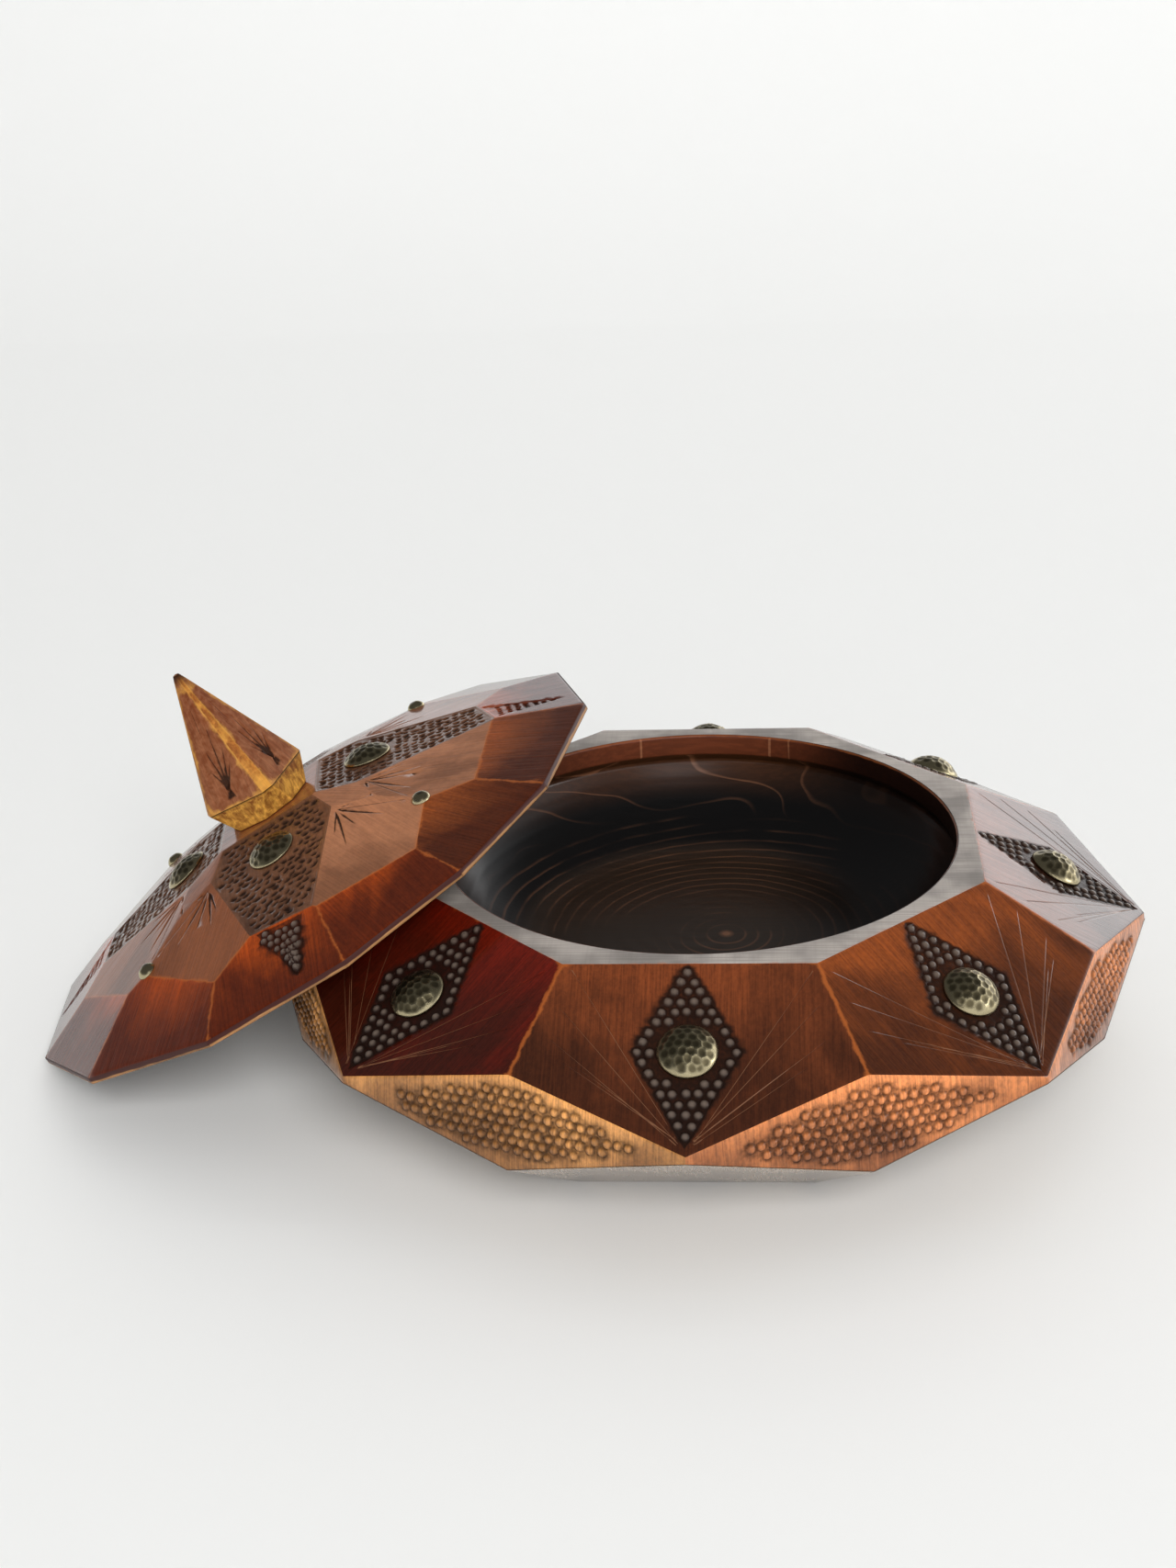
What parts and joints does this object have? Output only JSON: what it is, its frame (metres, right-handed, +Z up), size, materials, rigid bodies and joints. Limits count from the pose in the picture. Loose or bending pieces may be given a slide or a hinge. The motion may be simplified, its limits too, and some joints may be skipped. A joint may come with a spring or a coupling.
{
  "type": "lidded wooden box",
  "caption": "Low faceted wooden box with a turned hollow, carved and studded sides, and a loose lid with a pointed finial that leans on its rim.",
  "frame": {"origin": "centre of the bowl's flat underside", "axes": "+Z up; +X to the right of the picture's front view, so the lid leans on the -X side; one upper facet of the bowl faces -Y"},
  "size_m": [0.2644, 0.2046, 0.0893],
  "materials": {
    "bowl_wood": "stained and satin varnished, edges rubbed lighter",
    "lid_wood": "stained and satin varnished, edges rubbed lighter",
    "finial_wood": "stained and varnished, mottled amber",
    "stud_brass": "hammered and darkened with age",
    "tack_brass": "smooth and slightly tarnished"
  },
  "bodies": {
    "bowl": {"bowl_body": "bowl_wood", "bowl_stud_1": "stud_brass", "bowl_stud_2": "stud_brass", "bowl_stud_3": "stud_brass", "bowl_stud_4": "stud_brass", "bowl_stud_5": "stud_brass", "bowl_stud_6": "stud_brass", "bowl_stud_7": "stud_brass", "bowl_stud_8": "stud_brass"},
    "lid": {"lid_body": "lid_wood", "finial": "finial_wood", "lid_stud_1": "stud_brass", "lid_stud_2": "stud_brass", "lid_stud_3": "stud_brass", "lid_stud_4": "stud_brass", "lid_tack_1": "tack_brass", "lid_tack_2": "tack_brass", "lid_tack_3": "tack_brass", "lid_tack_4": "tack_brass"}
  },
  "joints": [
    {"name": "lid_lift", "type": "slide", "parent": "bowl", "child": "lid", "axis": [-0.4924, 0, 0.8704], "range_m": [0, 0.12]}
  ]
}
